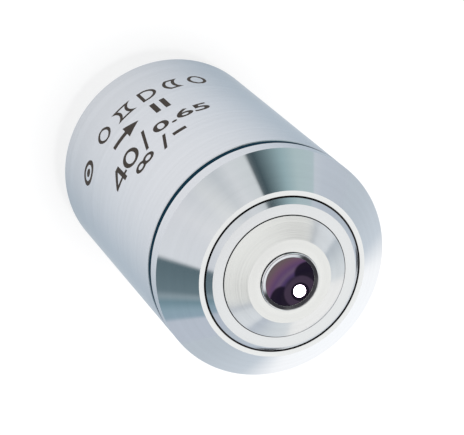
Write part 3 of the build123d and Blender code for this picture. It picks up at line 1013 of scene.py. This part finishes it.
def text_curve(text, bold):
    """Filled text in the built-in font, with its strokes widened by a share of its size."""
    curve = bpy.data.curves.new("numerals", "FONT")
    curve.body = text
    curve.size = 1.0
    curve.offset = bold
    curve.resolution_u = 6
    return curve


def loops_curve(loops):
    """Filled 2D curve from closed loops of points; a loop inside another is a hole."""
    curve = bpy.data.curves.new("symbol", "CURVE")
    curve.dimensions = "2D"
    curve.fill_mode = "BOTH"
    for loop in loops:
        spline = curve.splines.new("POLY")
        spline.points.add(len(loop) - 1)
        for point, (x, y) in zip(spline.points, loop):
            point.co = (x, y, 0.0, 1.0)
        spline.use_cyclic_u = True
    return curve


def engrave(name, curve, headings, heights, mats):
    """Lays a flat mark on the barrel.

    It reads from the first heading to the second, in degrees from the -Y side towards +X. The
    first height is that of its top and the second that of its foot, in millimetres.
    """
    start, end = headings
    rear, front = heights
    radius = span("barrel_sleeve")[0]
    mesh = flat_mesh(curve)
    bm = bmesh.new()
    bm.from_mesh(mesh)
    bpy.data.meshes.remove(mesh)
    bmesh.ops.remove_doubles(bm, verts=bm.verts, dist=1e-6)
    xs = [v.co.x for v in bm.verts]
    ys = [v.co.y for v in bm.verts]
    width = radians(start - end) * radius
    across = width / (max(xs) - min(xs))
    along = (front - rear) / (max(ys) - min(ys))
    left, low = min(xs), min(ys)
    for v in bm.verts:
        v.co = Vector(((v.co.x - left) * across, (v.co.y - low) * along, 0.0))
    cut = MARK_STEP
    while cut < width:
        everything = bm.verts[:] + bm.edges[:] + bm.faces[:]
        bmesh.ops.bisect_plane(bm, geom=everything, plane_co=(cut, 0, 0), plane_no=(1, 0, 0))
        cut += MARK_STEP
    made = bmesh.ops.extrude_face_region(bm, geom=bm.faces[:])
    sunk = {item for item in made["geom"] if isinstance(item, bmesh.types.BMVert)}
    for v in bm.verts:
        depth = -MARK_DEPTH if v in sunk else MARK_PROUD
        heading = radians(start) - v.co.x / radius
        height = front - v.co.y
        r = (radius + depth) * MM
        v.co = Vector((r * sin(heading), -r * cos(heading), height * MM))
    finish_piece(name, bm, [mats["ink"]], OUTER)


def arc(centre, radius, start, end, steps=16):
    """Points of an arc, angles in degrees."""
    points = []
    for step in range(steps + 1):
        angle = radians(start + (end - start) * step / steps)
        points.append((centre[0] + radius * cos(angle), centre[1] + radius * sin(angle)))
    return points


def circle(centre, radius, count):
    """A full circle of count points."""
    return arc(centre, radius, 0, 360 - 360 / count, count - 1)


def section_side(x, height, bulge, inset):
    """Right-hand side of a lens section from foot to top, moved inwards; convex above zero."""
    if bulge == 0:
        return [(x - inset, inset), (x - inset, height - inset)]
    radius = (height**2 / 4 + bulge**2) / (2 * abs(bulge))
    middle = height / 2
    if bulge > 0:
        half = degrees(asin((middle - inset) / (radius - inset)))
        return arc((x + bulge - radius, middle), radius - inset, -half, half)
    half = degrees(asin((middle - inset) / (radius + inset)))
    return arc((x + bulge + radius, middle), radius + inset, 180 + half, 180 - half)


def lens_section(width, height, left_bulge, right_bulge, inset=0.0):
    """Closed outline of a lens seen from the side, moved inwards by inset."""
    right = section_side(width, height, right_bulge, inset)
    left = [(width - x, y) for x, y in section_side(width, height, left_bulge, inset)]
    return right + left[::-1]


def infinity_loops(radius, stroke):
    """Outline and two holes of an infinity sign made of two touching rings."""
    centre = radius - stroke / 2
    meet = degrees(acos(centre / radius))
    right = arc((centre, 0), radius, meet - 180, 180 - meet, 32)
    left = arc((-centre, 0), radius, meet, 360 - meet, 32)
    holes = [circle((side * centre, 0), radius - stroke, 36) for side in (-1, 1)]
    return [right + left, *holes]


# Numeral 4: outline and counter.
FOUR = [
    [
        (1.65, 0.0),
        (2.2, 0.0),
        (2.2, 0.75),
        (2.65, 0.75),
        (2.65, 1.25),
        (2.2, 1.25),
        (2.2, 3.6),
        (1.5, 3.6),
        (0.0, 1.2),
        (0.0, 0.75),
        (1.65, 0.75),
    ],
    [(0.6, 1.25), (1.65, 1.25), (1.65, 2.85)],
]


def zero_loops(width, height, stroke):
    """Outline and counter of the numeral 0."""
    loops = []
    for inset in (0.0, stroke):
        across, along = width / 2 - inset, height / 2 - inset
        loops.append([(x * across, y * along) for x, y in circle((0, 0), 1.0, 45)])
    return loops


def engrave_row(name, symbols, headings, heights, mats):
    """Engraves symbols of their own width from one heading to the other with equal gaps."""
    start, end = headings
    radius = span("barrel_sleeve")[0]
    widths = []
    for loops in symbols:
        xs = [x for loop in loops for x, _ in loop]
        widths.append(degrees((max(xs) - min(xs)) / radius))
    gap = (start - end - sum(widths)) / (len(symbols) - 1)
    heading = start
    for index, (loops, width) in enumerate(zip(symbols, widths)):
        place = (heading, heading - width)
        engrave(f"{name}_{index + 1}", loops_curve(loops), place, heights, mats)
        heading -= width + gap


# Top and foot of the four rows of marks, and of the smaller marks in the last two, as heights on
# the barrel in millimetres.
SECTION_ROW = (8.1, 11.1)
ARROW_ROW = (12.7, 15.6)
POWER_ROW = (17.4, 21.0)
POWER_SLASH = (17.0, 21.4)
APERTURE = (18.0, 20.3)
INFINITY_ROW = (22.0, 23.8)
INFINITY_SLASH = (21.4, 24.6)
DASH = (22.55, 23.3)

SYMBOL_HEIGHT = 3.0
SYMBOL_STROKE = 0.4

# Lens sections of the first row: width at the ends, bulge on the left, bulge on the right.
SECTIONS = [
    (0.6, 0.8, 0.8),
    (2.9, -0.75, -0.75),
    (0.8, 0.0, 1.3),
    (1.5, 0.6, -0.6),
    (0.6, 0.8, 0.8),
]


def box_loop(width, height):
    """Closed outline of an upright bar."""
    return [(0, 0), (width, 0), (width, height), (0, height)]


def slash_loop(width, slant, height):
    """Closed outline of a slash whose top lies to the right of its foot by slant."""
    return [(0, 0), (width, 0), (width + slant, height), (slant, height)]


def make_marks(mats):
    """Generic marks in four engraved rows: lens symbols, an arrow and plain numerals."""
    ring = circle((0, 0), 1.5, 45)
    hole = circle((0, 0), 0.95, 45)
    dot = circle((0, 0), 0.5, 24)
    engrave("mark_axis", loops_curve([ring, hole, dot]), (40.5, 27.3), SECTION_ROW, mats)
    sections = []
    for width, *bulges in SECTIONS:
        outer = lens_section(width, SYMBOL_HEIGHT, *bulges)
        inner = lens_section(width, SYMBOL_HEIGHT, *bulges, inset=SYMBOL_STROKE)
        sections.append([outer, inner])
    engrave_row("mark_section", sections, (17.5, -50.0), SECTION_ROW, mats)
    arrow = [(0, 1.05), (2.3, 1.05), (2.3, 0.1), (4.3, 1.45), (2.3, 2.8), (2.3, 1.85), (0, 1.85)]
    engrave("mark_arrow", loops_curve([arrow]), (14.0, -5.0), ARROW_ROW, mats)
    bar = box_loop(0.65, 2.9)
    engrave_row("mark_bar", [[bar], [bar]], (-14.0, -22.5), ARROW_ROW, mats)
    engrave_row("mark_power", [FOUR, zero_loops(2.5, 3.6, 0.55)], (28.5, 5.5), POWER_ROW, mats)
    slash = loops_curve([slash_loop(0.42, 1.01, 4.4)])
    engrave("mark_slash_1", slash, (3.0, -3.3), POWER_SLASH, mats)
    engrave("mark_aperture", text_curve("0.65", 0.02), (-6.2, -37.0), APERTURE, mats)
    infinity = loops_curve(infinity_loops(1.0, 0.52))
    engrave("mark_infinity", infinity, (14.3, 1.0), INFINITY_ROW, mats)
    slash = loops_curve([slash_loop(0.42, 0.94, 3.2)])
    engrave("mark_slash_2", slash, (-3.5, -9.5), INFINITY_SLASH, mats)
    engrave("mark_dash", loops_curve([box_loop(1.7, 0.75)]), (-11.7, -19.2), DASH, mats)


# ---------------------------------------------------------------- carried-over CAD nodes

# The CAD nodes that no piece replaces, by their material.
CAD_FINISH = {
    "brass": ["guide_tube", "shim_front", "shim_rear"],
    "blackened": [
        "lens_barrel",
        "second_cell",
        "doublet_a_cell",
        "triplet_cell",
        "centring_cell",
        "rear_cell",
    ],
    "steel": ["spring_seat", "guide_pin", "centring_screws"],
    "matt_black": ["aperture_stop", "retaining_ring"],
    "anodised": ["spacer_middle", "spacer_rear"],
    "crown": [
        "second_lens",
        "doublet_a_crown",
        "triplet_crown",
        "doublet_b_crown",
        "rear_convex_lens",
    ],
    "flint": [
        "doublet_a_flint",
        "triplet_front_flint",
        "triplet_rear_flint",
        "doublet_b_flint",
        "rear_concave_lens",
    ],
}


def finish_cad_nodes(mats):
    """Gives every CAD node that stays its material."""
    for finish, nodes in CAD_FINISH.items():
        for node in nodes:
            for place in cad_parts[node].material_slots:
                place.material = mats[finish]


make_camera()
make_world()
make_lamp()
make_floor()
materials = make_materials()
make_mount(materials)
make_barrel(materials)
make_ring(materials)
chrome = [make_nose(materials), make_front_sleeve(materials), make_front_cell(materials)]
make_panels(chrome)
make_bezel(materials)
make_front_lens(materials)
make_spring(materials)
make_marks(materials)
finish_cad_nodes(materials)
scene.view_settings.view_transform = "Standard"
